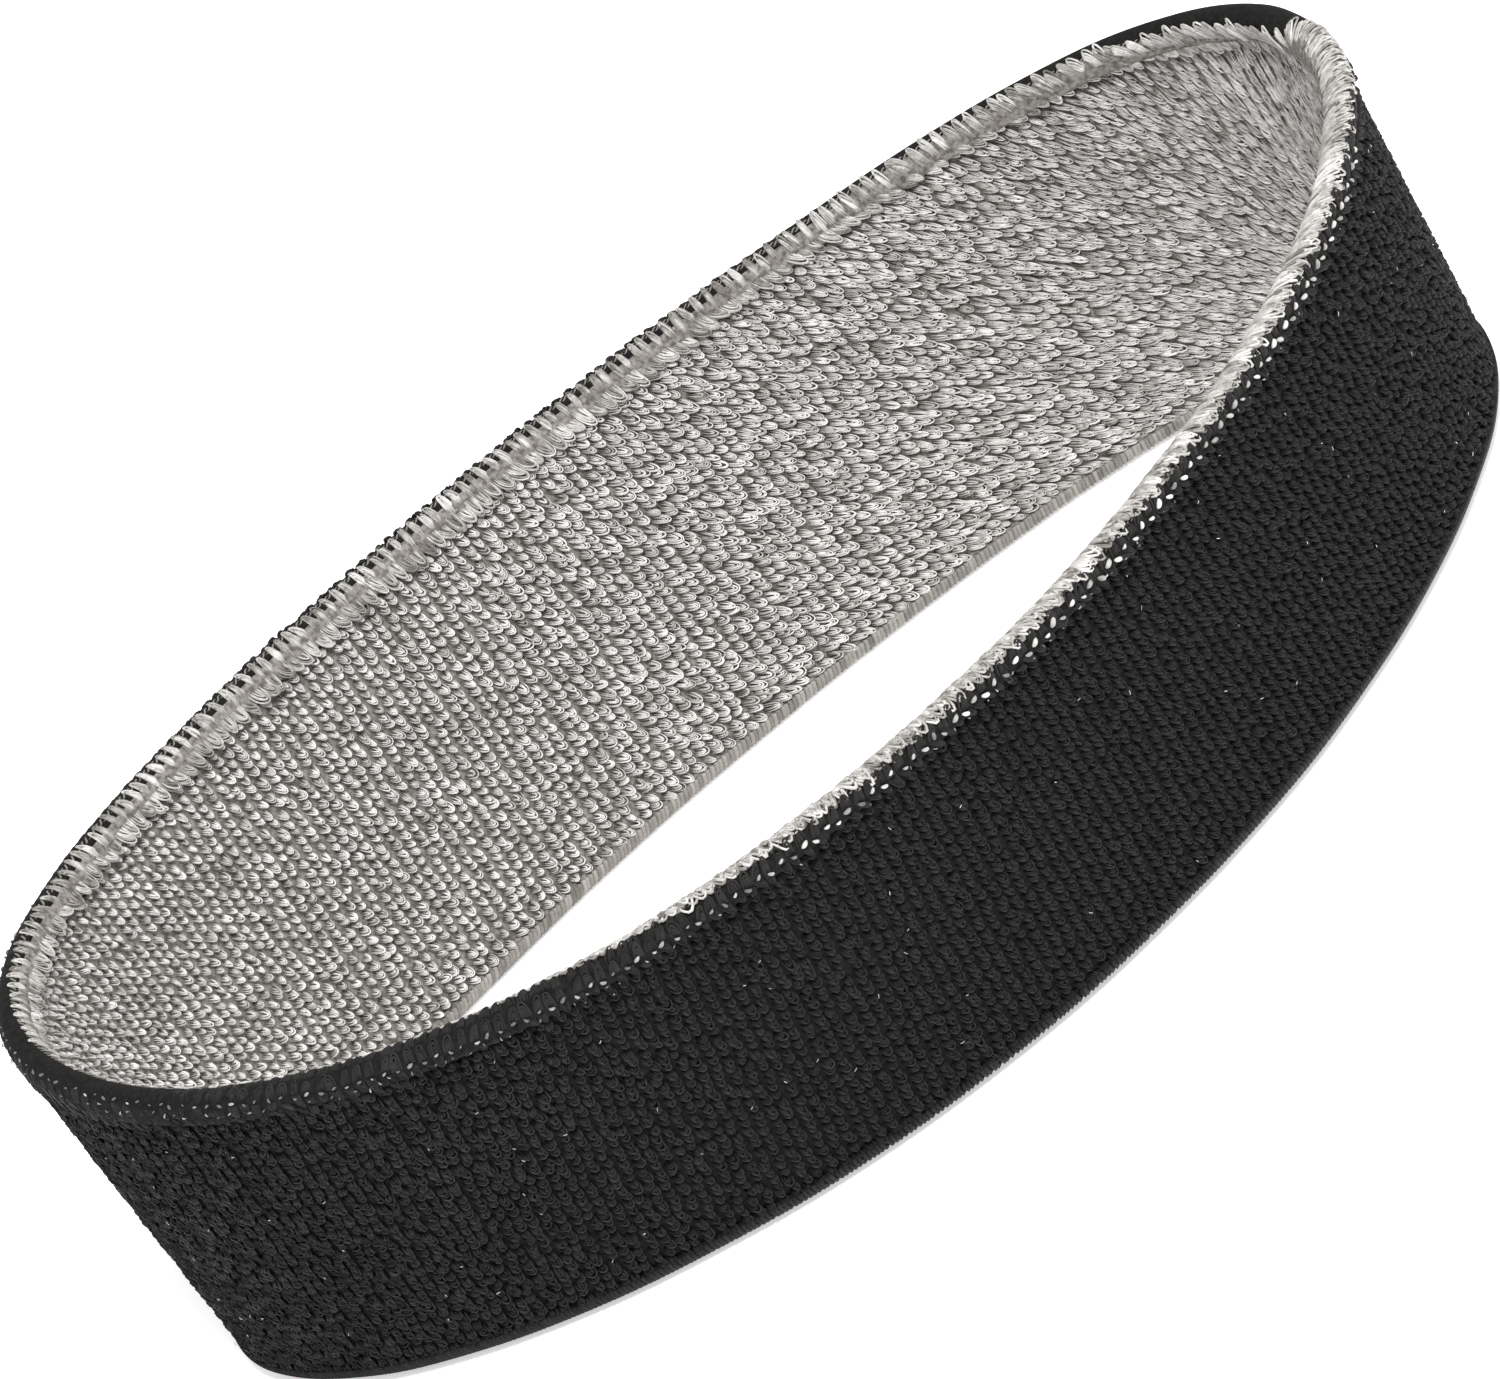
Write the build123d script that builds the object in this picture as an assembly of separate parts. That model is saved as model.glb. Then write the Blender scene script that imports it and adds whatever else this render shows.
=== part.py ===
from build123d import *
import os
from math import cos, hypot, pi, sin, sqrt

# A reversible double-layer terry headband, standing on its lower rim as it does on a head form.
# +X runs along the long axis of the oval, +Y to the flatter long side, +Z up. Millimetres.

# ---- the band as cloth ------------------------------------------------------------------------
BAND_WIDTH = 50.0        # measured along the wall, lower rim to upper rim
LAYER = 1.9              # thickness of one terry layer
ELASTIC_GAP = 0.4        # elastic yarns lie flat between the two layers
WALL = 2 * LAYER + ELASTIC_GAP
MIDDLE = WALL / 2        # depth at which the black side meets the grey side

# ---- the two rims, as ovals -------------------------------------------------------------------
# half_length, half_depth: half the oval's size along X and Y
# setback: how far the two ends sit behind the middle of the oval
# skew: leans the oval's ends, one forward and one back
# pinch, square: third harmonics, which sharpen the ends and flatten the long sides
# shift: the rim's place along X
UPPER = {"half_length": 98.0, "half_depth": 68.5, "setback": 3.0, "skew": -2.5,
         "pinch": 2.0, "square": 1.6, "shift": 0.0}
LOWER = {"half_length": 98.0, "half_depth": 52.5, "setback": 6.0, "skew": -0.3,
         "pinch": -0.3, "square": -1.0, "shift": -2.2}
RIM_TILT = -1.75         # the upper rim is this much lower at +X, and higher at -X
RIM_WAVE = 1.5           # the upper rim is this much higher at both ends than half way round

# ---- edge zones, as distances along the wall from the lower rim ---------------------------------
FOLD_TOP = 2.2           # the plain fold at the lower rim ends here
OUTER_TERRY_TOP = 46.4   # black loops end here
INNER_TERRY_TOP = 46.9   # grey loops end here
STITCH_TOP = 47.7        # the grey stitches that show through the black edge
EDGE_TOP = 49.4          # the plain edge courses, under the linking chain
ROUNDING = 0.7           # corner size on the soft rims
GAP = 0.05               # room left between neighbouring pieces

# ---- thread sizes -----------------------------------------------------------------------------
STITCH_DEPTH = 0.6
STITCH_PROUD = 0.2
CHAIN_HALF = 1.0         # half the linking chain's thickness
CHAIN_SEAT = 0.6         # the chain is let into the top of the edge by this much
YARN_COUNT = 11
YARN_HEIGHT = 0.8
YARN_FIRST = 4.6         # lowest elastic yarn, along the wall
YARN_LAST = 43.6         # highest elastic yarn

SPLINE_POINTS = 48       # points of each loop, spread evenly in angle


def oval_point(rim, angle):
    """A rim's point at an angle, before it is centred."""
    x = rim["half_length"] * cos(angle) + rim["pinch"] * cos(3 * angle) + rim["shift"]
    y = (rim["half_depth"] * sin(angle) + rim["setback"] * cos(2 * angle)
         + rim["skew"] * sin(2 * angle) + rim["square"] * sin(3 * angle))
    return x, y


def oval_inward(rim, angle):
    """The unit vector that points into the oval, square to its line."""
    dx = -rim["half_length"] * sin(angle) - 3 * rim["pinch"] * sin(3 * angle)
    dy = (rim["half_depth"] * cos(angle) - 2 * rim["setback"] * sin(2 * angle)
          + 2 * rim["skew"] * cos(2 * angle) + 3 * rim["square"] * cos(3 * angle))
    size = hypot(dx, dy)
    return -dy / size, dx / size


ANGLES = [2 * pi * step / SPLINE_POINTS for step in range(SPLINE_POINTS)]


def middle_of(values):
    return (min(values) + max(values)) / 2


CENTRE_X = middle_of([oval_point(UPPER, angle)[0] for angle in ANGLES])
CENTRE_Y = middle_of([oval_point(UPPER, angle)[1] for angle in ANGLES])


def rim_height(angle):
    """Height of the upper rim: the cloth keeps its width, so a wall that leans is lower."""
    top = oval_point(UPPER, angle)
    bottom = oval_point(LOWER, angle)
    lean = hypot(top[0] - bottom[0], top[1] - bottom[1])
    return sqrt(BAND_WIDTH ** 2 - lean ** 2) + RIM_TILT * cos(angle) + RIM_WAVE * cos(2 * angle)


def wall_point(angle, along, depth):
    """A point of the wall: along it from the lower rim, and in from its outer face."""
    share = along / BAND_WIDTH
    ends = []
    for rim in (LOWER, UPPER):
        x, y = oval_point(rim, angle)
        inward = oval_inward(rim, angle)
        ends.append((x + depth * inward[0] - CENTRE_X, y + depth * inward[1] - CENTRE_Y))
    low, high = ends
    x = low[0] + share * (high[0] - low[0])
    y = low[1] + share * (high[1] - low[1])
    return x, y, share * rim_height(angle)


def loop(along, depth):
    """A closed line round the band, at one place in the wall's section.

    Its parameter is the angle, so that the faces between loops keep to wall_point.
    """
    points = [wall_point(angle, along, depth) for angle in ANGLES]
    return Edge.make_spline(points, periodic=True, parameters=ANGLES + [2 * pi])


def strip(first, second):
    """The face round the band between two (along, depth) corners of a section."""
    if first[0] == 0 and second[0] == 0:
        outer, inner = sorted((first, second), key=lambda corner: corner[1])
        return Face(Wire([loop(*outer)]), [Wire([loop(*inner)])])
    return Face.make_surface_from_curves(loop(*first), loop(*second))


def ring(section):
    """A solid ring whose section has these (along, depth) corners.

    Two corners at the lower rim make the flat face that the band stands on.
    """
    return Solid(Shell([strip(*pair) for pair in zip(section, section[1:] + section[:1])]))


def box_section(low, high, front, back):
    """A four-cornered section."""
    return [(low, front), (high, front), (high, back), (low, back)]


def outer_terry():
    """Black terry layer, the outer face."""
    return ring(box_section(FOLD_TOP + GAP, OUTER_TERRY_TOP - GAP, 0, LAYER))


def inner_terry():
    """Heather grey terry layer, the inner face."""
    return ring(box_section(FOLD_TOP + GAP, INNER_TERRY_TOP - GAP, WALL - LAYER, WALL))


def elastic_yarns():
    """Flat elastic yarns laid round the band between the two layers."""
    step = (YARN_LAST - YARN_FIRST) / (YARN_COUNT - 1)
    yarns = []
    for number in range(YARN_COUNT):
        low = YARN_FIRST + number * step
        yarns.append(ring(box_section(low, low + YARN_HEIGHT, LAYER + GAP, WALL - LAYER - GAP)))
    return Compound(children=yarns)


def lower_fold_outer():
    """Black half of the fold at the lower rim, which the band stands on."""
    back = MIDDLE - GAP / 2
    return ring([(0, ROUNDING), (ROUNDING, 0), (FOLD_TOP, 0), (FOLD_TOP, back), (0, back)])


def lower_fold_inner():
    """Grey half of the fold at the lower rim."""
    front = MIDDLE + GAP / 2
    return ring([(0, front), (FOLD_TOP, front), (FOLD_TOP, WALL), (ROUNDING, WALL),
                 (0, WALL - ROUNDING)])


def upper_edge_outer():
    """Plain black courses at the upper rim, with a step for the grey stitches."""
    back = MIDDLE - GAP / 2
    chain_front = MIDDLE - CHAIN_HALF - GAP
    return ring([(OUTER_TERRY_TOP, STITCH_DEPTH + GAP), (STITCH_TOP + GAP, STITCH_DEPTH + GAP),
                 (STITCH_TOP + GAP, 0), (EDGE_TOP - ROUNDING, 0), (EDGE_TOP, ROUNDING),
                 (EDGE_TOP, chain_front), (EDGE_TOP - CHAIN_SEAT - GAP, chain_front),
                 (EDGE_TOP - CHAIN_SEAT - GAP, back), (OUTER_TERRY_TOP, back)])


def upper_edge_inner():
    """Plain grey courses at the upper rim."""
    front = MIDDLE + GAP / 2
    chain_back = MIDDLE + CHAIN_HALF + GAP
    return ring([(INNER_TERRY_TOP, front), (EDGE_TOP - CHAIN_SEAT - GAP, front),
                 (EDGE_TOP - CHAIN_SEAT - GAP, chain_back), (EDGE_TOP, chain_back),
                 (EDGE_TOP, WALL - ROUNDING), (EDGE_TOP - ROUNDING, WALL), (INNER_TERRY_TOP, WALL)])


def linking_stitches():
    """Grey stitches that pass through the black edge and show on its outer face."""
    return ring(box_section(OUTER_TERRY_TOP, STITCH_TOP, -STITCH_PROUD, STITCH_DEPTH))


def linking_chain():
    """The chain of grey yarn along the crest, which joins the two layers."""
    low = EDGE_TOP - CHAIN_SEAT
    return ring([(low, MIDDLE - CHAIN_HALF), (EDGE_TOP, MIDDLE - CHAIN_HALF),
                 (BAND_WIDTH, MIDDLE - CHAIN_HALF / 2), (BAND_WIDTH, MIDDLE + CHAIN_HALF / 2),
                 (EDGE_TOP, MIDDLE + CHAIN_HALF), (low, MIDDLE + CHAIN_HALF)])


NODES = {
    "outer_terry": outer_terry,
    "inner_terry": inner_terry,
    "elastic_yarns": elastic_yarns,
    "lower_fold_outer": lower_fold_outer,
    "lower_fold_inner": lower_fold_inner,
    "upper_edge_outer": upper_edge_outer,
    "upper_edge_inner": upper_edge_inner,
    "linking_stitches": linking_stitches,
    "linking_chain": linking_chain,
}

os.makedirs("parts", exist_ok=True)
for node, make in NODES.items():
    export_step(make(), f"parts/{node}.step")
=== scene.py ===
import bpy
import numpy as np
from mathutils import Matrix, Vector


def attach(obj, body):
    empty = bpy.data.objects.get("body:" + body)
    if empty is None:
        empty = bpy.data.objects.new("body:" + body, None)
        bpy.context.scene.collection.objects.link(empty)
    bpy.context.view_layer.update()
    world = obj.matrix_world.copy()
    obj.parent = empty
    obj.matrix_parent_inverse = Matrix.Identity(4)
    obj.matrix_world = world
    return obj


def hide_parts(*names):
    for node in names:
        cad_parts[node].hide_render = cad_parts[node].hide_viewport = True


# Looks of a reversible double-layer terry headband: black outside, heather grey inside.
# Metres, in the CAD's frame.

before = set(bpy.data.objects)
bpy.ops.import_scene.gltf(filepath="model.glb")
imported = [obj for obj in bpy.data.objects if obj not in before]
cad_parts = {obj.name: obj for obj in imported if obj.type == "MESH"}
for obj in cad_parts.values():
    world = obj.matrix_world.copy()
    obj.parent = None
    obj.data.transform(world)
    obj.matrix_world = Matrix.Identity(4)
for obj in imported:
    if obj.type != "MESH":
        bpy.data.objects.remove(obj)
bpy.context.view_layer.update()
MM = 0.001

# ---- the band, as the CAD has it --------------------------------------------------------------
BAND_WIDTH = 50 * MM
WALL = 4.2 * MM
MIDDLE = WALL / 2
UPPER = {"half_length": 98.0 * MM, "half_depth": 68.5 * MM, "setback": 3.0 * MM, "skew": -2.5 * MM,
         "pinch": 2.0 * MM, "square": 1.6 * MM, "shift": 0.0}
LOWER = {"half_length": 98.0 * MM, "half_depth": 52.5 * MM, "setback": 6.0 * MM, "skew": -0.3 * MM,
         "pinch": -0.3 * MM, "square": -1.0 * MM, "shift": -2.2 * MM}
RIM_TILT = -1.75 * MM
RIM_WAVE = 1.5 * MM
FOLD_TOP = 2.2 * MM
OUTER_TERRY_TOP = 46.4 * MM
INNER_TERRY_TOP = 46.9 * MM
OVAL_POINTS = 48         # the CAD draws its loops through this many points

# ---- the knitting -----------------------------------------------------------------------------
WALES = 300              # columns of stitches round the band
COURSE = 1.26 * MM       # height of one row of stitches
GROUND = 0.95 * MM       # the pile stands this far out of the ground cloth
SECTORS = 15             # the pile is made in this many pieces round the band
ROUND_LENGTH = 530 * MM  # the upper rim, round its outside
CLOTH_STEPS = 600        # steps round the band in its smooth rings
# The cloth's gentle unevenness, as waves: (waves round the band, phase, phase per metre up, size).
RIPPLES = [(5, 1.0, 0, 1.0), (9, 2.0, 40, 0.7), (17, 0.0, -90, 0.5), (29, 0.0, 160, 0.35)]
RIPPLE_SIZE = 0.10 * MM


# ---- the shape of the wall --------------------------------------------------------------------

def oval(rim, angle):
    x = rim["half_length"] * np.cos(angle) + rim["pinch"] * np.cos(3 * angle) + rim["shift"]
    y = (rim["half_depth"] * np.sin(angle) + rim["setback"] * np.cos(2 * angle)
         + rim["skew"] * np.sin(2 * angle) + rim["square"] * np.sin(3 * angle))
    return np.stack([x, y], -1)


def oval_inward(rim, angle):
    dx = -rim["half_length"] * np.sin(angle) - 3 * rim["pinch"] * np.sin(3 * angle)
    dy = (rim["half_depth"] * np.cos(angle) - 2 * rim["setback"] * np.sin(2 * angle)
          + 2 * rim["skew"] * np.cos(2 * angle) + 3 * rim["square"] * np.cos(3 * angle))
    return np.stack([-dy, dx], -1) / np.hypot(dx, dy)[..., None]


def oval_centre():
    points = oval(UPPER, np.linspace(0, 2 * np.pi, OVAL_POINTS, endpoint=False))
    return (points.min(0) + points.max(0)) / 2


CENTRE = oval_centre()


def rim_height(angle):
    lean = np.linalg.norm(oval(UPPER, angle) - oval(LOWER, angle), axis=-1)
    return np.sqrt(BAND_WIDTH ** 2 - lean ** 2) + RIM_TILT * np.cos(angle) + RIM_WAVE * np.cos(2 * angle)


def ripple(angle, along):
    """How far the cloth strays inward at a point."""
    return RIPPLE_SIZE * sum(size * np.sin(count * angle + phase + climb * along)
                             for count, phase, climb, size in RIPPLES)


def wall(angle, along, depth):
    """Points of the wall: along it from the lower rim, and in from its outer face."""
    angle, along, depth = np.broadcast_arrays(angle, along, depth)
    inset = (depth + ripple(angle, along))[..., None]
    low = oval(LOWER, angle) + inset * oval_inward(LOWER, angle) - CENTRE
    high = oval(UPPER, angle) + inset * oval_inward(UPPER, angle) - CENTRE
    share = (along / BAND_WIDTH)[..., None]
    height = share * rim_height(angle)[..., None]
    return np.concatenate([low + share * (high - low), height], -1)


def unit(vectors):
    return vectors / np.linalg.norm(vectors, axis=-1, keepdims=True)


def make_round_table(steps=3000):
    """Shares of the way round the band, measured along the cloth, and their angles."""
    angles = np.linspace(0, 2 * np.pi, steps + 1)
    points = wall(angles, BAND_WIDTH / 2, MIDDLE)
    strides = np.linalg.norm(np.diff(points, axis=0), axis=1)
    lengths = np.concatenate([[0.0], np.cumsum(strides)])
    return lengths / lengths[-1], angles


ROUND_SHARES, ROUND_ANGLES = make_round_table()


def angle_at(share):
    """The angle a share of the way round, so that equal shares are equal lengths of cloth."""
    turns = np.floor(share)
    return 2 * np.pi * turns + np.interp(share - turns, ROUND_SHARES, ROUND_ANGLES)


def local_axes(angle, along, side, small=1e-4):
    """Right and up as seen from a side of the cloth, and out of it. Side +1 is outer, -1 inner."""
    depth = 0.0 if side > 0 else WALL
    around = unit(wall(angle + small, along, depth) - wall(angle - small, along, depth))
    up = unit(wall(angle, along + small, depth) - wall(angle, along - small, depth))
    out = unit(np.cross(around, up))
    return side * around, up, side * out


def face_point(angle, along, side, height):
    """A point at a height over one face of the cloth."""
    depth = -height if side > 0 else WALL + height
    return wall(angle, along, depth)


# ---- mesh building ----------------------------------------------------------------------------

def mesh_object(name, points, corners, sizes, corner_maps=None, tint=None):
    """A mesh from its faces' corners in one list, with each face's size, and UV maps given per corner."""
    mesh = bpy.data.meshes.new(name)
    mesh.vertices.add(len(points))
    mesh.vertices.foreach_set("co", points.astype(np.float32).ravel())
    mesh.loops.add(len(corners))
    mesh.loops.foreach_set("vertex_index", corners.astype(np.int32))
    mesh.polygons.add(len(sizes))
    mesh.polygons.foreach_set("loop_start", (np.cumsum(sizes) - sizes).astype(np.int32))
    mesh.update(calc_edges=True)
    for title, values in (corner_maps or {}).items():
        layer = mesh.uv_layers.new(name=title)
        layer.data.foreach_set("uv", values.astype(np.float32).ravel())
    if tint is not None:
        layer = mesh.attributes.new("tint", "FLOAT", "POINT")
        layer.data.foreach_set("value", tint.astype(np.float32))
    mesh.polygons.foreach_set("use_smooth", np.ones(len(sizes), bool))
    thing = bpy.data.objects.new(name, mesh)
    bpy.context.scene.collection.objects.link(thing)
    return thing


RING_START = np.array([0.31, 0.52, 0.79])  # a direction that no thread runs along
CELL_MARGIN = 0.1        # free edge round each tube in the bake map, as a share of its cell


def tube_rings(paths, radii, sides):
    """Rings of points round each path, turned as little as possible from one to the next."""
    tangents = unit(np.gradient(paths, axis=1))
    across = np.cross(tangents[:, 0], RING_START)
    rings = np.empty(paths.shape[:2] + (sides, 3))
    turn = 2 * np.pi * np.arange(sides) / sides
    for step in range(paths.shape[1]):
        tangent = tangents[:, step]
        across = unit(across - (across * tangent).sum(-1, keepdims=True) * tangent)
        other = np.cross(tangent, across)
        spokes = np.cos(turn)[:, None] * across[:, None] + np.sin(turn)[:, None] * other[:, None]
        rings[:, step] = paths[:, step, None] + radii[:, step, None, None] * spokes
    return rings


def tubes(name, paths, radii, tint, sides=4):
    """A mesh with a closed tube along each path (path, point, xyz), and a tint for each path or point."""
    count, steps, _ = paths.shape
    radii = np.broadcast_to(radii, (count, steps))
    points = tube_rings(paths, radii, sides).reshape(-1, 3)
    grids = np.meshgrid(np.arange(steps - 1), np.arange(sides), indexing="ij")
    step, side = [grid.ravel() for grid in grids]
    steps_on = np.stack([step, step, step + 1, step + 1], -1).ravel()
    sides_on = np.stack([side, side + 1, side + 1, side], -1).ravel()
    walls = steps_on * sides + sides_on % sides
    start = np.arange(sides)[::-1]
    end = np.arange(sides) + (steps - 1) * sides
    corners = np.concatenate([walls, start, end])
    sizes = np.concatenate([np.full(len(step), 4), [sides, sides]])
    steps_on = np.concatenate([steps_on, 0 * start, 0 * end + steps - 1]) / (steps - 1)
    sides_on = np.concatenate([sides_on, start, end % sides]) / sides
    pattern = np.stack([steps_on, sides_on], -1)
    all_corners = (corners + steps * sides * np.arange(count)[:, None]).ravel()
    lengths = np.linalg.norm(np.diff(paths, axis=1), axis=-1).sum(1)
    strand = pattern[None] * np.stack([lengths / MM, np.ones(count)], -1)[:, None]
    cells = int(np.ceil(np.sqrt(count)))
    cell = np.stack([np.arange(count) % cells, np.arange(count) // cells], -1)
    bake = (cell[:, None] + CELL_MARGIN + (1 - 2 * CELL_MARGIN) * pattern[None]) / cells
    maps = {"OFBake": bake, "strand": strand}
    tint = np.broadcast_to(np.asarray(tint).reshape(count, -1), (count, steps))
    return mesh_object(name, points, all_corners, np.tile(sizes, count), maps, np.repeat(tint, sides))


def ring_mesh(name, loops):
    """A closed ring round the band, from its section's points at each step round (step, corner, xyz)."""
    steps, corners, _ = loops.shape
    step, corner = np.meshgrid(np.arange(steps), np.arange(corners), indexing="ij")
    ahead, after = (step + 1) % steps, (corner + 1) % corners
    quads = np.stack([step * corners + corner, ahead * corners + corner,
                      ahead * corners + after, step * corners + after], -1).reshape(-1, 4)
    u = np.stack([step, step + 1, step + 1, step], -1) / steps
    v = np.stack([corner, corner, corner + 1, corner + 1], -1) / corners
    maps = {"OFBake": np.stack([u, v], -1)}
    return mesh_object(name, loops.reshape(-1, 3), quads.ravel(), np.full(len(quads), 4), maps)


def ring_sheet(name, section, steps):
    """A closed ring with one section all the way round, a list of (along, depth) corners."""
    angles = angle_at(np.arange(steps) / steps)
    return ring_mesh(name, np.stack([wall(angles, along, depth) for along, depth in section], 1))


# ---- materials --------------------------------------------------------------------------------

ROUGHNESS_SPREAD = 0.1   # roughness strays this far to both sides


def new_material(name):
    material = bpy.data.materials.new(name)
    material.use_nodes = True
    return material, material.node_tree.nodes["Principled BSDF"]


def add_node(material, kind, **values):
    """A node with some of its inputs set. Underscores in their names stand for spaces."""
    node = material.node_tree.nodes.new(kind)
    for title, value in values.items():
        node.inputs[title.replace("_", " ")].default_value = value
    return node


def add_noise(material, scale, detail):
    """Cloudy noise through the object, with a scale in patches per metre."""
    place = add_node(material, "ShaderNodeTexCoord")
    noise = add_node(material, "ShaderNodeTexNoise", Scale=scale, Detail=detail)
    material.node_tree.links.new(place.outputs["Object"], noise.inputs["Vector"])
    return noise.outputs["Fac"]


def add_colour(material, shader, source, dark, light, start, end):
    """Base colour that runs from dark to light as the source goes from start to end."""
    links = material.node_tree.links
    ramp = add_node(material, "ShaderNodeValToRGB")
    for element, position, colour in zip(ramp.color_ramp.elements, (start, end), (dark, light)):
        element.position = position
        element.color = (*colour, 1)
    links.new(source, ramp.inputs["Fac"])
    links.new(ramp.outputs["Color"], shader.inputs["Base Color"])


def add_roughness(material, shader, source, roughness):
    links = material.node_tree.links
    rough = add_node(material, "ShaderNodeMapRange", To_Min=roughness - ROUGHNESS_SPREAD,
                     To_Max=roughness + ROUGHNESS_SPREAD)
    links.new(source, rough.inputs["Value"])
    links.new(rough.outputs[0], shader.inputs["Roughness"])


def add_relief(material, shader, source, strength, depth):
    links = material.node_tree.links
    bump = add_node(material, "ShaderNodeBump", Strength=strength, Distance=depth)
    links.new(source, bump.inputs["Height"])
    links.new(bump.outputs["Normal"], shader.inputs["Normal"])


def yarn_material(name, dark, light, roughness, sheen, gloss, relief):
    """Spun yarn: its tint runs from dark to light from strand to strand, with fine fibres as relief. In the
    pile loops the tint also carries painted shade at the roots and painted highlight at the tips.
    """
    material, shader = new_material(name)
    links = material.node_tree.links
    tint = add_node(material, "ShaderNodeAttribute")
    tint.attribute_name = "tint"
    patches = add_noise(material, scale=900, detail=3)
    total = add_node(material, "ShaderNodeMath")
    total.operation = "MULTIPLY_ADD"
    links.new(patches, total.inputs[0])
    total.inputs[1].default_value = 0.8      # the patches' part beside the strands' own tint
    links.new(tint.outputs["Fac"], total.inputs[2])
    shift = add_node(material, "ShaderNodeMapRange", From_Min=0.0, From_Max=1.8)
    links.new(total.outputs[0], shift.inputs["Value"])
    add_colour(material, shader, shift.outputs[0], dark, light, 0.2, 0.7)
    add_roughness(material, shader, patches, roughness)
    shader.inputs["Sheen Weight"].default_value = sheen
    shader.inputs["Sheen Roughness"].default_value = 0.4
    shader.inputs["Specular IOR Level"].default_value = gloss
    strand = add_node(material, "ShaderNodeUVMap")
    strand.uv_map = "strand"
    fibres = add_node(material, "ShaderNodeTexWave", Scale=1.6, Distortion=1.5, Detail=2)
    fibres.bands_direction = "DIAGONAL"
    links.new(strand.outputs["UV"], fibres.inputs["Vector"])
    add_relief(material, shader, fibres.outputs["Fac"], relief, 0.05 * MM)
    return material


def knit_material(name, dark, light, roughness):
    """Plain knitted ground cloth."""
    material, shader = new_material(name)
    grain = add_noise(material, scale=1500, detail=4)
    add_colour(material, shader, grain, dark, light, 0.35, 0.65)
    add_roughness(material, shader, grain, roughness)
    shader.inputs["Specular IOR Level"].default_value = 0.15
    add_relief(material, shader, grain, 0.6, 0.15 * MM)
    return material


# The grey yarn's dark end is also where the painted shade at the pile loops' roots lands.
GREY_YARN = yarn_material("grey_yarn", (0.15, 0.135, 0.118), (0.90, 0.885, 0.86), 0.45, 0.10, 0.5, 0.3)
EDGE_YARN = yarn_material("edge_yarn", (0.16, 0.145, 0.13), (0.38, 0.36, 0.335), 0.65, 0.10, 0.3, 0.3)
PALE_YARN = yarn_material("pale_yarn", (0.12, 0.115, 0.11), (0.72, 0.71, 0.69), 0.50, 0.10, 0.5, 0.3)
BLACK_YARN = yarn_material("black_yarn", (0.008, 0.0076, 0.0075), (0.027, 0.0257, 0.0252), 0.60, 0.03,
                           0.15, 0.3)
LINT_FIBRE = yarn_material("lint_fibre", (0.35, 0.35, 0.36), (0.75, 0.75, 0.76), 0.60, 0.05, 0.3, 0.1)
RUBBER_YARN = yarn_material("rubber_yarn", (0.40, 0.38, 0.34), (0.62, 0.60, 0.55), 0.55, 0.05, 0.5, 0.5)
# The grey ground cloth is coloured far darker than the grey yarn: painted shade for the gaps between the
# pile loops.
GREY_GROUND_PAINTED_SHADE = knit_material("grey_ground_painted_shade", (0.13, 0.12, 0.108), (0.30, 0.282, 0.262), 0.85)
GREY_EDGE = knit_material("grey_edge", (0.10, 0.09, 0.08), (0.30, 0.28, 0.26), 0.80)
BLACK_GROUND = knit_material("black_ground", (0.005, 0.005, 0.0048), (0.014, 0.0135, 0.013), 0.85)


def dress(piece, material, slot, *nodes):
    """Gives a piece its material and hides the CAD nodes that it stands for; the slot is not used. It rides
    with the band.
    """
    piece.data.materials.append(material)
    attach(piece, "root")
    if nodes:
        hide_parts(*nodes)
    return piece


# ---- the pile ---------------------------------------------------------------------------------

# Each pile's values change round the band: (share of the way round, value) pairs, or one number
# where the value stays the same. Share 0 is the right end, 0.25 the middle of the flatter side, and
# 0.5 the left end. lean is in radians; length, width and height are a loop's size in millimetres;
# dip draws its tip back to the cloth, and scatter is how much its lean strays.
# plies are the sizes of the strands that make up one loop, and the root shade is painted shade that darkens
# each loop toward its roots, with painted highlight on its tip.
GREY_PILE = {
    "side": -1, "top": INNER_TERRY_TOP, "seed": 100, "ply_radius": 0.125 * MM, "points": 9, "sides": 3,
    "plies": (1.1, 0.86, 0.62, 0.36), "spread": 0.07 * MM, "wobble": 0.12, "low_lean": 0.4, "tilt": 0.5,
    "painted_root_shade": 0.45,
    "lean": [(0.0, 0.1), (0.02, 0.25), (0.04, 0.6), (0.07, 0.88), (0.10, 0.95), (0.22, 0.93), (0.26, 0.7),
             (0.30, 0.58), (0.5, 0.6), (1.0, 0.1)],
    "length": [(0.0, 2.7), (0.06, 2.6), (0.14, 2.4), (0.22, 1.9), (0.27, 1.5), (0.32, 1.25), (0.40, 1.05),
               (0.56, 1.05), (0.8, 1.4), (1.0, 2.7)],
    "width": [(0.0, 0.7), (0.06, 0.7), (0.14, 0.8), (0.22, 1.0), (0.27, 1.05), (0.32, 0.95), (0.40, 0.85),
              (0.56, 0.85), (1.0, 0.7)],
    "height": [(0.0, 0.5), (0.06, 0.6), (0.12, 0.75), (0.22, 0.8), (0.34, 0.8), (0.45, 0.65), (1.0, 0.5)],
    "dip": [(0.0, 0.9), (0.06, 0.7), (0.12, 0.4), (0.2, 0.15), (0.3, 0.0), (0.9, 0.0), (1.0, 0.9)],
    "scatter": [(0.0, 0.08), (0.1, 0.08), (0.22, 0.10), (0.26, 0.15), (0.4, 0.18), (0.5, 0.3), (1.0, 0.08)],
}
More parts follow.
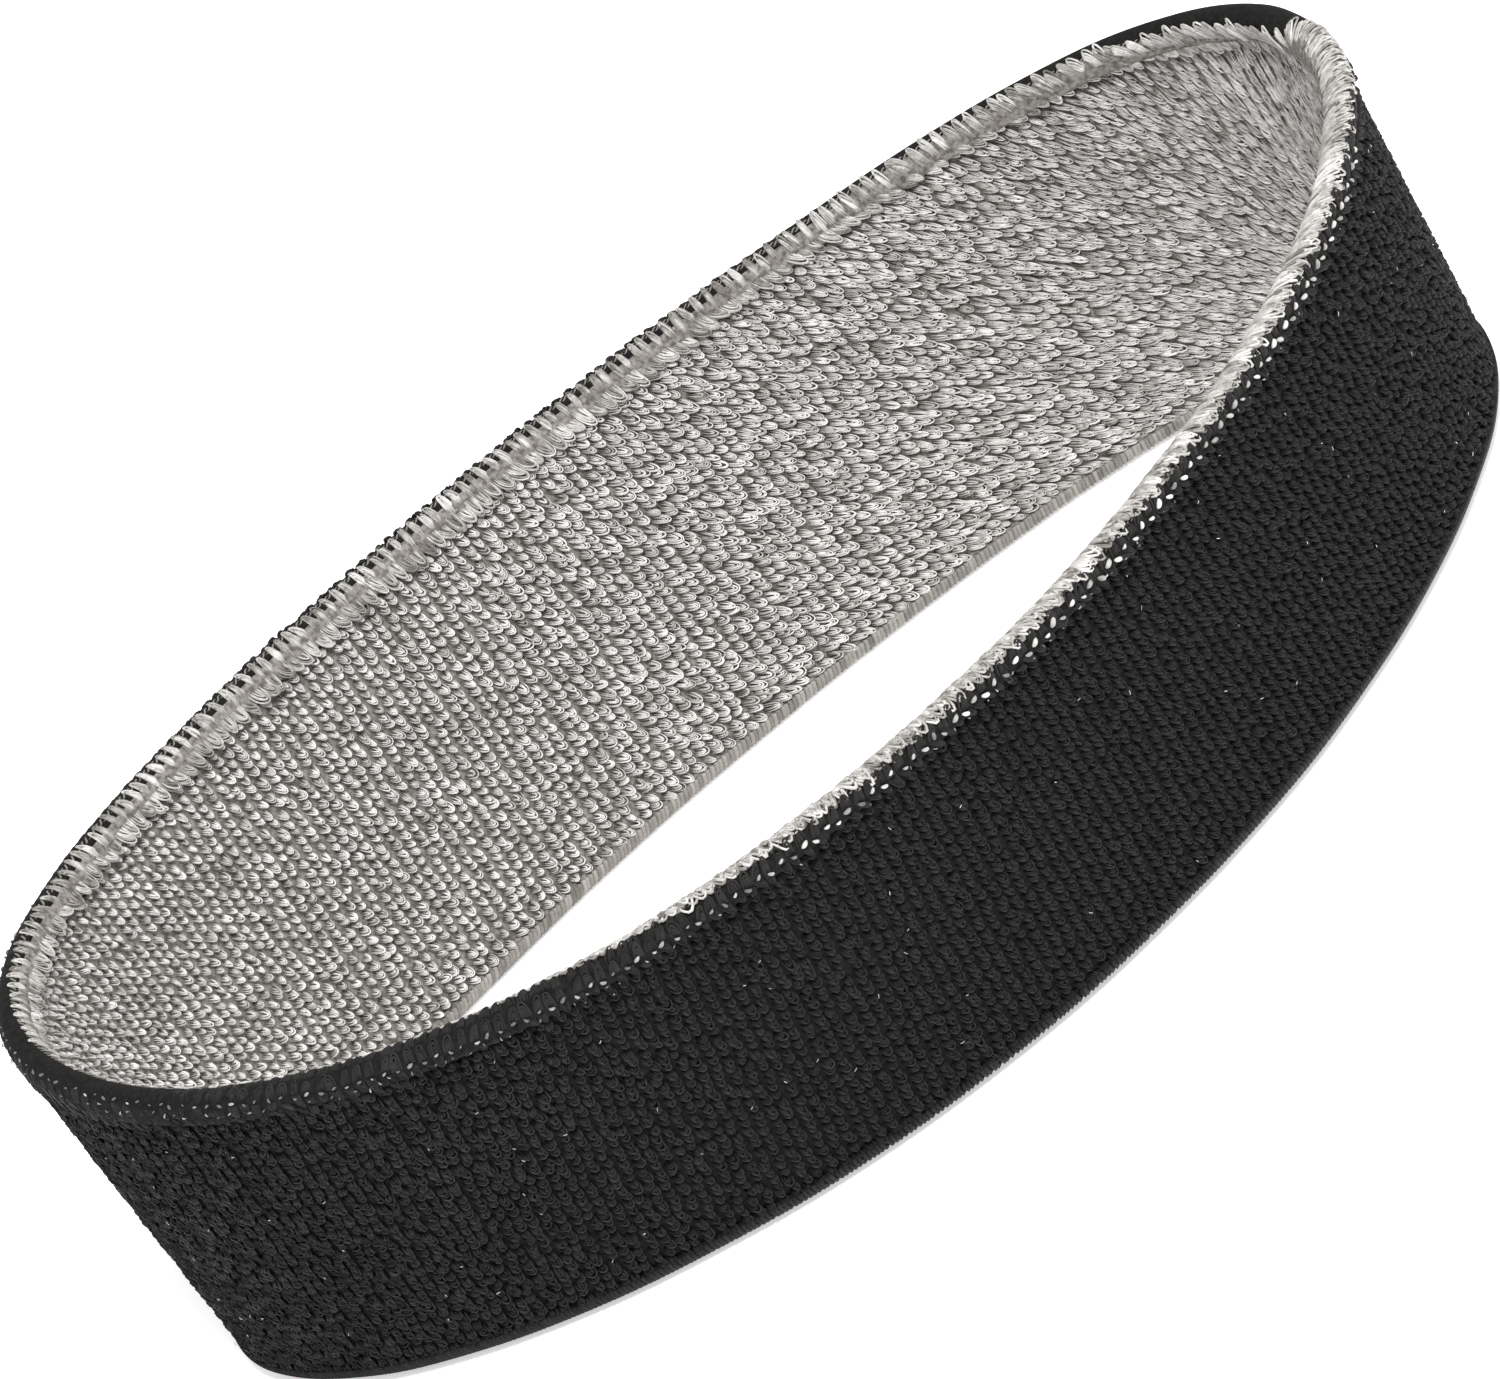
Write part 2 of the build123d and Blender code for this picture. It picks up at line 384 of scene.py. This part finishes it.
BLACK_PILE = {
    "side": 1, "top": OUTER_TERRY_TOP, "seed": 200, "ply_radius": 0.17 * MM, "points": 7, "sides": 3,
    "plies": (1.1, 0.7, 0.3), "spread": 0.05 * MM, "wobble": 0.08, "low_lean": 0.1, "tilt": 0.2,
    "painted_root_shade": 0.3,
    "lean": [(0.0, 0.6), (0.2, 0.5), (0.5, 0.5), (1.0, 0.6)],
    "length": [(0.0, 1.35), (0.35, 1.35), (0.42, 1.6), (0.55, 1.6), (0.62, 1.35), (1.0, 1.35)],
    "width": [(0.0, 0.85), (0.38, 0.85), (0.45, 1.05), (0.6, 1.05), (0.66, 0.85), (1.0, 0.85)],
    "height": 0.85,
    "dip": [(0.0, 0.5), (0.05, 0.3), (0.35, 0.3), (0.42, 0.7), (0.55, 0.7), (0.62, 0.3), (0.9, 0.3),
            (1.0, 0.5)],
    "scatter": [(0.0, 0.45), (0.2, 0.2), (0.45, 0.2), (0.6, 0.2), (0.68, 0.12), (0.82, 0.15), (0.92, 0.4),
                (1.0, 0.45)],
}
CLOTH_GAP = 0.2 * MM     # half the room between the two layers' ground cloths
ROW_START = 0.95         # a loop hangs from this far up its row
ROOT_TAPER = 0.6         # a yarn is this much thinner at its roots
PLY_TURNS = 0.4          # turns of a loop's plies round each other, from root to root
PLY_LENGTH = 0.55        # a ply of size 0 would have this share of a whole ply's length
TIP_CURVE = 0.8          # powers that round the loop's tip, and its rise from the cloth
RISE_CURVE = 0.6
PILE_TINT = 0.56
LOOP_TINT = 0.08         # how much the tint strays from loop to loop, and from ply to ply
PLY_TINT = 0.14
PAINTED_SHADE_LEVEL = 0.8        # how far up a loop the painted shade ends: below it the tint is darkened as painted shade at the roots, above it lightened as painted highlight at the tip


def round_value(pairs, share):
    """A value that changes round the band, or one number for all of it."""
    if np.isscalar(pairs):
        return np.full(np.shape(share), pairs)
    shares, values = np.array(pairs).T
    return np.interp(share % 1, shares, values)


def tapered(points):
    """A yarn's thickness along a loop, as shares of its whole thickness."""
    taper = np.ones(points)
    taper[[0, -1]] = ROOT_TAPER
    return taper


def pile_paths(pile, wales):
    """Paths of the hanging loops over some wales, one loop to a stitch and several plies to a loop."""
    rng = np.random.default_rng(pile["seed"] + int(wales[0]))
    rows = int((pile["top"] - FOLD_TOP) / COURSE)
    wale, row = [grid.ravel() for grid in np.meshgrid(wales, np.arange(rows), indexing="ij")]
    count = len(wale)
    side = pile["side"]
    share = (wale + 0.5 + 0.05 * rng.normal(size=count)) / WALES
    along = FOLD_TOP + (row + ROW_START + 0.10 * rng.normal(size=count)) * COURSE
    angle = angle_at(share)
    base = face_point(angle, along, side, -GROUND)
    right, up, out = local_axes(angle, along, side)

    def varied(key):
        return round_value(pile[key], share) * MM * (1 + pile["wobble"] * rng.normal(size=count))

    loop_width, loop_length, loop_height = varied("width"), varied("length"), varied("height")
    lean = (round_value(pile["lean"], share) + pile["low_lean"] * (0.5 - along / BAND_WIDTH)
            + round_value(pile["scatter"], share) * rng.normal(size=count))
    dip = round_value(pile["dip"], share)
    time = np.linspace(0, 1, pile["points"])
    arc = np.sin(np.pi * time)
    loop_tint = rng.normal(size=count)
    phase = rng.uniform(0, 2 * np.pi, count)
    twist = 2 * np.pi * PLY_TURNS * rng.choice([-1, 1], count)
    paths, tints = [], []
    for number, size in enumerate(pile["plies"]):
        width = (loop_width * size * (1 + 0.10 * rng.normal(size=count)))[:, None]
        reach = PLY_LENGTH + (1 - PLY_LENGTH) * size
        length = (loop_length * reach * (1 + 0.08 * rng.normal(size=count)))[:, None]
        turned = (phase + 2 * np.pi * number / len(pile["plies"]))[:, None] + twist[:, None] * time
        across = -0.5 * width * np.cos(np.pi * time) - pile["spread"] * np.cos(turned) * np.cos(np.pi * time)
        drop = length * arc ** TIP_CURVE + pile["spread"] * np.cos(turned) * arc
        x = across * np.cos(lean)[:, None] + drop * np.sin(lean)[:, None]
        y = across * np.sin(lean)[:, None] - drop * np.cos(lean)[:, None]
        z = (loop_height[:, None] * arc ** RISE_CURVE * (1 - dip[:, None] * arc ** 4)
             - pile["tilt"] * across * arc ** 0.5 + pile["spread"] * np.sin(turned))
        paths.append(base[:, None] + x[..., None] * right[:, None] + y[..., None] * up[:, None]
                     + z[..., None] * out[:, None])
        ply_tint = PILE_TINT + LOOP_TINT * loop_tint + PLY_TINT * rng.normal(size=count)
        # painted shade darkens the loop toward its roots, and painted highlight lightens its tip
        tints.append(ply_tint[:, None] + pile["painted_root_shade"] * (arc - PAINTED_SHADE_LEVEL))
    return np.concatenate(paths), np.concatenate(tints)


def make_pile(name, pile, material, slot):
    """The hanging loops of one layer, as one piece to a sector of the band."""
    pieces = []
    edges = np.linspace(0, WALES, SECTORS + 1).astype(int)
    for number, (start, end) in enumerate(zip(edges, edges[1:]), 1):
        paths, tints = pile_paths(pile, np.arange(start, end))
        radii = pile["ply_radius"] * tapered(pile["points"])
        piece = tubes(f"{name}_{number:02d}", paths, radii, tints, pile["sides"])
        pieces.append(dress(piece, material, slot))
    return pieces


def make_ground(name, node, side, top, material, slot, rows=36):
    """The ground cloth that the loops stand on, a thin closed ring."""
    front = GROUND if side > 0 else WALL - GROUND
    back = MIDDLE - CLOTH_GAP if side > 0 else MIDDLE + CLOTH_GAP
    alongs = np.linspace(FOLD_TOP, top, rows)
    section = [(along, front) for along in alongs] + [(along, back) for along in alongs[::-1]]
    piece = ring_sheet(name, section, CLOTH_STEPS)
    dress(piece, material, slot, node)


black_pile = make_pile("black_loops", BLACK_PILE, BLACK_YARN, "black_terry")
grey_pile = make_pile("grey_loops", GREY_PILE, GREY_YARN, "grey_terry")
make_ground("black_ground_cloth", "outer_terry", 1, OUTER_TERRY_TOP, BLACK_GROUND, "black_terry")
make_ground("grey_ground_cloth", "inner_terry", -1, INNER_TERRY_TOP, GREY_GROUND_PAINTED_SHADE, "grey_terry")


# ---- the upper rim ----------------------------------------------------------------------------

RIM_BASE = 47.8 * MM     # the crest's rounding starts here, along the wall
RIM_ROUND = 2.1 * MM
QUARTER = 3.4 * MM       # length of a quarter of the rounding
RIM_POINTS = 10          # points of each loop's path
RIM_TINT = 0.45

# Where black meets grey over the crest: -1 is the outer face, 0 the crest, 1 the inner face.
MEETING = [(0.0, 0.9), (0.02, 0.75), (0.04, 0.65), (0.06, 0.45), (0.09, 0.35), (0.12, 0.25), (0.16, 0.1),
           (0.22, 0.0), (0.30, 0.05), (0.36, 0.1), (0.44, 0.2), (0.48, 0.4), (0.52, 0.5), (0.60, 0.5),
           (0.64, 0.1), (0.68, -0.35), (0.72, -0.5), (0.95, -0.6), (0.975, -0.95), (0.99, -0.95), (1.0, 0.9)]
# Where the pale stitches show: round on the outer face, and higher where the rim rolls inward.
STITCH_PLACE = [(0.0, -1.1), (0.36, -0.9), (0.43, -0.5), (0.52, -0.4), (0.57, -0.75), (0.64, -1.0),
                (1.0, -1.1)]
STITCHED = 0.945         # the stitches show up to this share of the way round
STITCH_YARN = 0.26 * MM  # radius
STITCH_LENGTH = 1.0 * MM
SPECK_YARN = 0.10 * MM   # radius
SPECK_LENGTH = 0.45 * MM
SPECKS = 0.6             # share of the stitches with a fainter speck below
STITCH_PROFILE = np.array([0.4, 0.85, 1.0, 1.0, 0.85, 0.4])
# The stitches' zigzag in millimetres, their size beside STITCH_YARN and STITCH_LENGTH, and their tint.
STITCH_ZIGZAG = [(0.0, 0.3), (0.4, 0.1), (0.6, 0.12), (0.7, 0.3), (1.0, 0.3)]
STITCH_SIZE = [(0.0, 0.9), (0.45, 0.55), (0.6, 0.55), (0.7, 0.85), (0.8, 1.0), (1.0, 0.9)]
STITCH_TINT = [(0.0, 0.45), (0.45, -0.2), (0.6, 0.0), (0.7, 0.4), (0.8, 0.55), (1.0, 0.45)]
# How far the crest strands run askew, in wales.
SLANT = [(0.0, 1.2), (0.06, 1.0), (0.15, 0.4), (0.45, 0.2), (0.7, 0.4), (0.9, 0.9), (1.0, 1.2)]
CURL_SLANT = [(0.0, 0.3), (0.5, 0.0), (1.0, 0.3)]
CURL_LIFT = [(0.0, 0.0), (0.13, 0.05), (0.2, 0.25), (0.3, 0.28), (0.38, 0.1), (0.5, 0.0), (0.53, 0.05),
             (0.6, 0.35), (0.68, 0.45), (0.95, 0.4), (1.0, 0.0)]
CREST_LIFT = [(0.0, 0.35), (0.14, 0.35), (0.2, 0.25), (0.5, 0.25), (0.7, 0.35), (1.0, 0.3)]
OVERREACH = [(0.0, 0.15), (0.12, 0.2), (0.2, 0.05), (0.5, 0.03), (0.7, 0.05), (1.0, 0.1)]
# How far behind the loops the black cloth meets the grey.
CLOTH_BACK = [(0.0, 0.0), (0.12, 0.1), (0.18, 0.45), (0.42, 0.4), (0.48, 0.1), (0.6, 0.1), (0.7, 0.25),
              (0.95, 0.2), (1.0, 0.0)]
BLACK_CLOTH_FROM = -1.35  # places where the plain cloth of the two layers begins and ends
GREY_CLOTH_TO = 1.32
CLOTH_SEAM = 0.02        # the grey cloth starts this far past the black
CLOTH_THICK = 0.9 * MM
# Sizes of the rim's loops. Widths are in wales, lifts in millimetres, and slants in wales over a loop.
CREST_WIDTH = [(0.0, 0.8), (0.15, 0.5), (0.45, 0.5), (0.65, 1.05), (0.95, 1.0), (1.0, 0.8)]
CREST_RADIUS = [(0.0, 0.15), (0.15, 0.13), (0.5, 0.13), (0.62, 0.19), (0.93, 0.17), (1.0, 0.15)]
CREST_TINT = [(0.0, -0.1), (0.15, -0.2), (0.5, -0.2), (0.62, -0.15), (0.95, -0.15), (1.0, -0.1)]
FLUFF_SLANT = [(0.0, -0.3), (0.1, -0.9), (0.25, -0.5), (0.5, -0.4), (1.0, -0.3)]
FLUFF_LIFT = [(0.0, 0.05), (0.12, 0.1), (0.2, 0.35), (0.5, 0.4), (1.0, 0.05)]
FLUFF_WIDTH = 0.9
CURL_WIDTH = 0.65
EDGE_LOOP_WIDTH = 0.5
FLUFF_REACH = [(0.0, 0.45), (0.2, 0.55), (0.5, 0.5), (1.0, 0.45)]
EDGE_LOOP_SLANT = 0.35
EDGE_LOOP_LIFT = [(0.0, 0.4), (0.36, 0.35), (0.42, 0.15), (0.52, 0.15), (0.6, 0.4), (1.0, 0.4)]
EDGE_LOOP_ROWS = 3
CREST_PLIES = (1.05, 0.85, 0.65, 0.45, 0.25)
FLUFF_PLIES = (1.1, 0.9, 0.7, 0.5, 0.3)
CURL_PLIES = (1.0, 0.6, 0.25)
EDGE_LOOP_PLIES = (1.1, 0.7, 0.3)
BLACK_RIM_YARN = 0.16 * MM   # radius


def rim_point(angle, place, height):
    """A point over the rounded rim. Beyond 1 or -1, places run on down the face."""
    bend = np.clip(place, -1, 1) * np.pi / 2
    below = np.maximum(np.abs(place) - 1, 0) * QUARTER
    depth = MIDDLE + (MIDDLE + height) * np.sin(bend)
    along = RIM_BASE + (RIM_ROUND + height) * np.cos(bend) - below
    return wall(angle, along, depth)


def rim_loops(rng, share, sizes, start, end, width, lift, slant):
    """Loops over the rounded rim, each from one place of the rim to another and back again."""
    time = np.linspace(0, 1, RIM_POINTS)
    arc = np.sin(np.pi * time)
    count = len(share)
    first = start(share) + 0.07 * rng.normal(size=count)
    last = end(share) + 0.05 * rng.normal(size=count)
    askew = round_value(slant, share) + 0.14 * rng.normal(size=count)
    rise = round_value(lift, share) * MM * (1 + 0.18 * rng.normal(size=count))
    sink = np.maximum(0.2 * MM - 0.5 * rise, 0.05 * MM)
    loop_tint = 0.10 * rng.normal(size=count)
    paths, tints = [], []
    widths = round_value(width, share)
    for size in sizes:
        reach = (last - first) * (0.5 + 0.5 * size) * (1 + 0.05 * rng.normal(size=count))
        place = first[:, None] + reach[:, None] * arc ** 0.7
        wide = widths * size * (1 + 0.15 * rng.normal(size=count))
        across = -0.5 * wide[:, None] * np.cos(np.pi * time) + askew[:, None] * arc
        height = rise[:, None] * arc ** 0.8 - sink[:, None]
        paths.append(rim_point(angle_at(share[:, None] + across / WALES), place, height))
        tints.append(RIM_TINT + loop_tint + 0.15 * rng.normal(size=count))
    return np.concatenate(paths), np.concatenate(tints)


def crest_start(share):
    """Where the grey crest loops rise from on the inner face."""
    return np.maximum(round_value(MEETING, share) + 0.5, 0.96)


def dash_paths(shares, along, height, length, tilt, points=6):
    """Short stitches lying on the outer face, or over the rim above it."""
    time = np.linspace(-0.5, 0.5, points)
    run = length[:, None] * time * np.cos(tilt)[:, None]
    rise = length[:, None] * time * np.sin(tilt)[:, None]
    bulge = height * (1 - 0.5 * (2 * time) ** 2)
    place = (along[:, None] + rise - RIM_BASE) / QUARTER - 1
    return rim_point(angle_at(shares[:, None] + run / ROUND_LENGTH), place, bulge)


def make_rim_cloth(steps=900, points=12):
    """The plain black and grey cloth over the rim, which meet under the crest loops."""
    shares = np.arange(steps) / steps
    angle = angle_at(shares)[:, None]
    meeting = (round_value(MEETING, shares) + round_value(CLOTH_BACK, shares))[:, None]
    over = np.linspace(0, 1, points)[None]
    black_place = BLACK_CLOTH_FROM + (meeting - BLACK_CLOTH_FROM) * over
    grey_place = meeting + CLOTH_SEAM + (GREY_CLOTH_TO - CLOTH_SEAM - meeting) * over
    for name, node, place, material, slot in (
            ("black_rim", "upper_edge_outer", black_place, BLACK_GROUND, "black_plain_knit"),
            ("grey_rim", "upper_edge_inner", grey_place, GREY_EDGE, "grey_plain_knit")):
        top = rim_point(angle, place, 0.0)
        under = rim_point(angle, place[:, ::-1], -CLOTH_THICK)
        dress(ring_mesh(name, np.concatenate([top, under], 1)), material, slot, node)


def meeting_at(share):
    return round_value(MEETING, share)


def stitch_at(share):
    return round_value(STITCH_PLACE, share)


def make_upper_rim():
    """The loops and curls of the upper rim, over its plain cloth."""
    rng = np.random.default_rng(7)
    make_rim_cloth()
    share = (np.arange(WALES) + 0.5 + 0.12 * rng.normal(size=WALES)) / WALES
    taper = tapered(RIM_POINTS)
    between = share[(share > 0.6) & (share < 0.97)] + 0.5 / WALES
    crest = np.concatenate([share, between])
    paths, tints = rim_loops(rng, crest, CREST_PLIES, crest_start,
                             lambda share: meeting_at(share) - round_value(OVERREACH, share),
                             CREST_WIDTH, CREST_LIFT, SLANT)
    tints = tints + np.tile(round_value(CREST_TINT, crest), len(CREST_PLIES))
    radii = np.tile(round_value(CREST_RADIUS, crest), len(CREST_PLIES))[:, None] * MM * taper
    dress(tubes("grey_crest_loops", paths, radii, tints), GREY_YARN, "grey_plain_knit")
    paths, tints = rim_loops(rng, share + 0.5 / WALES, FLUFF_PLIES,
                             lambda share: crest_start(share) - 0.02,
                             lambda share: crest_start(share) + 0.03 + round_value(FLUFF_REACH, share),
                             FLUFF_WIDTH, FLUFF_LIFT, FLUFF_SLANT)
    dress(tubes("grey_fluff", paths, 0.12 * MM * taper, tints - 0.18), GREY_YARN, "grey_plain_knit")

    curls = rim_loops(rng, share, CURL_PLIES, lambda share: stitch_at(share) + 0.02,
                      lambda share: np.clip(meeting_at(share) + 0.03, -0.95, stitch_at(share) + 0.6),
                      CURL_WIDTH, CURL_LIFT, CURL_SLANT)
    dress(tubes("black_curls_outer", curls[0], BLACK_RIM_YARN, curls[1] + 0.25), BLACK_YARN,
          "black_plain_knit")
    rolled = share[meeting_at(share) > -0.2]
    curls = rim_loops(rng, rolled, CURL_PLIES, lambda share: np.maximum(meeting_at(share) - 0.6, -0.9),
                      meeting_at, CURL_WIDTH, CURL_LIFT, CURL_SLANT)
    dress(tubes("black_curls_crest", curls[0], BLACK_RIM_YARN, curls[1]), BLACK_YARN, "black_plain_knit")
    paths, tints = [], []
    for row in range(EDGE_LOOP_ROWS):
        drop = 0.1 + row * COURSE / QUARTER
        hung = share[stitch_at(share) - drop > -1.3]
        loops = rim_loops(rng, hung, EDGE_LOOP_PLIES, lambda share: stitch_at(share) - drop,
                          lambda share: stitch_at(share) - drop - 0.33, EDGE_LOOP_WIDTH, EDGE_LOOP_LIFT,
                          EDGE_LOOP_SLANT)
        paths.append(loops[0])
        tints.append(loops[1])
    dress(tubes("black_edge_loops", np.concatenate(paths), BLACK_RIM_YARN, np.concatenate(tints)),
          BLACK_YARN, "black_plain_knit")


def make_stitches():
    """The pale stitches that show through the black edge, in a zigzag, with fainter specks below."""
    rng = np.random.default_rng(11)
    count = int(STITCHED * WALES)
    wale = np.arange(count)
    shares = (wale + 0.5 + 0.1 * rng.normal(size=count)) / WALES
    size = round_value(STITCH_SIZE, shares) * (1 + 0.2 * rng.normal(size=count))
    line = RIM_BASE + (1 + round_value(STITCH_PLACE, shares)) * QUARTER
    zigzag = round_value(STITCH_ZIGZAG, shares) * (-1.0) ** wale
    along = line + (zigzag + 0.07 * rng.normal(size=count)) * MM
    tilt = 0.45 * (-1.0) ** wale + 0.25 * rng.normal(size=count)
    bulge = (0.04 + round_value(CURL_LIFT, shares)) * MM
    paths = dash_paths(shares, along, bulge[:, None], STITCH_LENGTH * size, tilt)
    radii = STITCH_YARN * size[:, None] * STITCH_PROFILE
    tint = round_value(STITCH_TINT, shares) + 0.25 * rng.normal(size=count)
    dress(tubes("pale_stitches", paths, radii, tint, sides=6), PALE_YARN, "linking_yarn", "linking_stitches")
    kept = wale[rng.random(count) < SPECKS]
    speck_share = (kept + 0.3 * rng.normal(size=len(kept))) / WALES
    along = line[kept] + (-1.2 + 0.25 * rng.normal(size=len(kept))) * MM
    length = SPECK_LENGTH * (1 + 0.3 * rng.normal(size=len(kept)))
    paths = dash_paths(speck_share, along, 0.35 * MM, length, rng.normal(size=len(kept)))
    radii = SPECK_YARN * STITCH_PROFILE
    tint = 0.1 + 0.2 * rng.normal(size=len(kept))
    dress(tubes("pale_specks", paths, radii, tint), PALE_YARN, "linking_yarn")


def make_chain():
    """The linking chain: two yarns that wave along the line where black meets grey."""
    paths = []
    steps = WALES * 8
    share = np.arange(steps + 1) / steps
    for phase in (0.0, np.pi):
        turn = 2 * np.pi * WALES * share + phase
        place = meeting_at(share) + 0.06 + 0.10 * np.sin(turn)
        height = (0.06 * np.cos(turn) - 0.12) * MM
        paths.append(rim_point(angle_at(share), place, height))
    chain = tubes("linking_chain_yarns", np.array(paths), 0.16 * MM, np.full(len(paths), 0.2))
    dress(chain, EDGE_YARN, "linking_yarn", "linking_chain")


# ---- the lower rim, the elastic and the lint --------------------------------------------------

FOLD_RIBS = 800
FOLD_RIB = 0.40 * MM     # radius
FOLD_LIFT = 0.30 * MM    # the ribs' middles lie this far inside the fold's surface
FOLD_CENTRE = 2.0 * MM   # the fold's roundness ends this far up the wall
FOLD_CORE_TOP = 2.6 * MM
FOLD_CORE_INSET = 0.55 * MM
ELASTIC_YARNS = 11
ELASTIC_LOW, ELASTIC_HIGH = 5.0 * MM, 44.0 * MM
ELASTIC_TURNS = 100
ELASTIC_STRAND = 0.13 * MM   # radius
LINT_FIBRE_SIZE = 0.045 * MM


def make_fold(name, node, side, material, yarn, slot):
    """Half of the rolled fold at the lower rim: a rounded core with close rib stitches wrapped round it."""
    rng = np.random.default_rng(17 + side)
    time = np.linspace(0, 1, 9)
    reach = MIDDLE - 0.1 * MM
    share = (np.arange(FOLD_RIBS) + 0.5 + 0.1 * rng.normal(size=FOLD_RIBS)) / FOLD_RIBS
    bend = np.pi / 2 * time * 0.98
    inset = reach * (1 - np.cos(bend))
    along = FOLD_CENTRE + FOLD_LIFT - (FOLD_CENTRE - 0.15 * MM) * np.sin(bend)
    depth = inset + FOLD_LIFT if side > 0 else WALL - inset - FOLD_LIFT
    drift = 1.2 * (time - 0.5) / FOLD_RIBS
    paths = wall(angle_at(share[:, None] + drift), along, depth)
    tint = 0.45 + 0.2 * rng.normal(size=FOLD_RIBS)
    piece = tubes(name + "_ribs", paths, FOLD_RIB, tint)
    dress(piece, yarn, slot)
    front = FOLD_CORE_INSET if side > 0 else WALL - FOLD_CORE_INSET
    back = MIDDLE - 0.05 * MM if side > 0 else MIDDLE + 0.05 * MM
    section = [(FOLD_CORE_TOP, back), (FOLD_CORE_TOP, front), (1.4 * MM, front),
               (0.6 * MM, (front + back) / 2), (0.3 * MM, back)]
    dress(ring_sheet(name + "_core", section, CLOTH_STEPS), material, slot, node)


def make_elastic(steps=800):
    """Flat elastic yarns between the two layers, each a pair of twisted rubber-cored strands."""
    share = np.arange(steps + 1) / steps
    paths = []
    for along in np.linspace(ELASTIC_LOW, ELASTIC_HIGH, ELASTIC_YARNS):
        for phase in (0.0, np.pi):
            twist = 2 * np.pi * ELASTIC_TURNS * share + phase
            height = along + 0.18 * MM * np.sin(twist)
            depth = MIDDLE + 0.05 * MM * np.cos(twist)
            paths.append(wall(angle_at(share), height, depth))
    strands = tubes("elastic_strands", np.array(paths), ELASTIC_STRAND, np.full(len(paths), 0.5))
    dress(strands, RUBBER_YARN, "elastic", "elastic_yarns")


def make_lint(count=170):
    """A few pale fibres caught in the black pile."""
    rng = np.random.default_rng(19)
    shares = rng.random(count)
    along = rng.uniform(3, 46, count) * MM
    length = rng.uniform(0.25, 0.6, count) * MM
    paths = dash_paths(shares, along, 0.12 * MM, length, rng.uniform(0, np.pi, count))
    dress(tubes("lint", paths, LINT_FIBRE_SIZE, rng.random(count)), LINT_FIBRE, "linking_yarn")


make_upper_rim()
make_stitches()
make_chain()
make_fold("black_fold", "lower_fold_outer", 1, BLACK_GROUND, BLACK_YARN, "black_plain_knit")
make_fold("grey_fold", "lower_fold_inner", -1, GREY_EDGE, EDGE_YARN, "grey_plain_knit")
make_elastic()
make_lint()

# ---- studio -----------------------------------------------------------------------------------

VIEW_TURN = 0.15         # the camera stands this far round from straight in front
VIEW_DOWN = np.radians(27.0)
VIEW_ROLL = np.radians(36.6)
DISTANCE = 1.6
LENS = 320.7
SENSOR = 36.0
AIM_RIGHT = 5.21 * MM    # the band's middle sits this far right of the picture's middle
AIM_UP = -0.85 * MM


def make_camera():
    """A long lens, turned so that the band lies slanted across the picture."""
    ahead = Vector((np.sin(VIEW_TURN) * np.cos(VIEW_DOWN), np.cos(VIEW_TURN) * np.cos(VIEW_DOWN),
                    -np.sin(VIEW_DOWN)))
    level = Vector((np.cos(VIEW_TURN), -np.sin(VIEW_TURN), 0))
    upright = level.cross(ahead)
    right = level * np.cos(VIEW_ROLL) - upright * np.sin(VIEW_ROLL)
    up = level * np.sin(VIEW_ROLL) + upright * np.cos(VIEW_ROLL)
    target = Vector((-CENTRE[0], -CENTRE[1], BAND_WIDTH / 2))
    camera = bpy.data.objects.new("camera", bpy.data.cameras.new("camera"))
    camera.data.lens = LENS
    camera.data.sensor_width = SENSOR
    camera.data.clip_start = 0.1
    camera.data.clip_end = 20
    place = target - DISTANCE * ahead - AIM_RIGHT * right - AIM_UP * up
    camera.matrix_world = Matrix.Translation(place) @ Matrix((right, up, -ahead)).transposed().to_4x4()
    bpy.context.scene.collection.objects.link(camera)
    bpy.context.scene.camera = camera


def make_floor(size=6.0):
    """A wide white floor, bright enough to wash its shadow out."""
    corners = np.array([[-size, -size, 0], [size, -size, 0], [size, size, 0], [-size, size, 0]])
    floor = mesh_object("floor", corners, np.arange(4), np.array([4]))
    material, shader = new_material("studio_floor")
    shader.inputs["Base Color"].default_value = (0.93, 0.93, 0.93, 1)
    shader.inputs["Roughness"].default_value = 0.9
    shader.inputs["Emission Color"].default_value = (1, 1, 1, 1)
    shader.inputs["Emission Strength"].default_value = 0.5
    floor.data.materials.append(material)


def make_light(name, place, size, power):
    """A round lamp that shines on the band."""
    lamp = bpy.data.lights.new(name, "AREA")
    lamp.shape = "DISK"
    lamp.size = size
    lamp.energy = power
    light = bpy.data.objects.new(name, lamp)
    light.location = place
    light.rotation_euler = (-Vector(place)).to_track_quat("-Z", "Y").to_euler()
    bpy.context.scene.collection.objects.link(light)


def make_world():
    """Even white light from all round."""
    world = bpy.data.worlds.new("studio")
    world.use_nodes = True
    world.node_tree.nodes["Background"].inputs["Color"].default_value = (1, 1, 1, 1)
    world.node_tree.nodes["Background"].inputs["Strength"].default_value = 0.65
    bpy.context.scene.world = world


make_camera()
make_floor()
make_world()
make_light("key", (0.1, -1.0, 1.9), 0.7, 36)
make_light("fill", (1.2, -0.5, 1.2), 1.2, 8)
bpy.context.scene.view_settings.view_transform = "Standard"
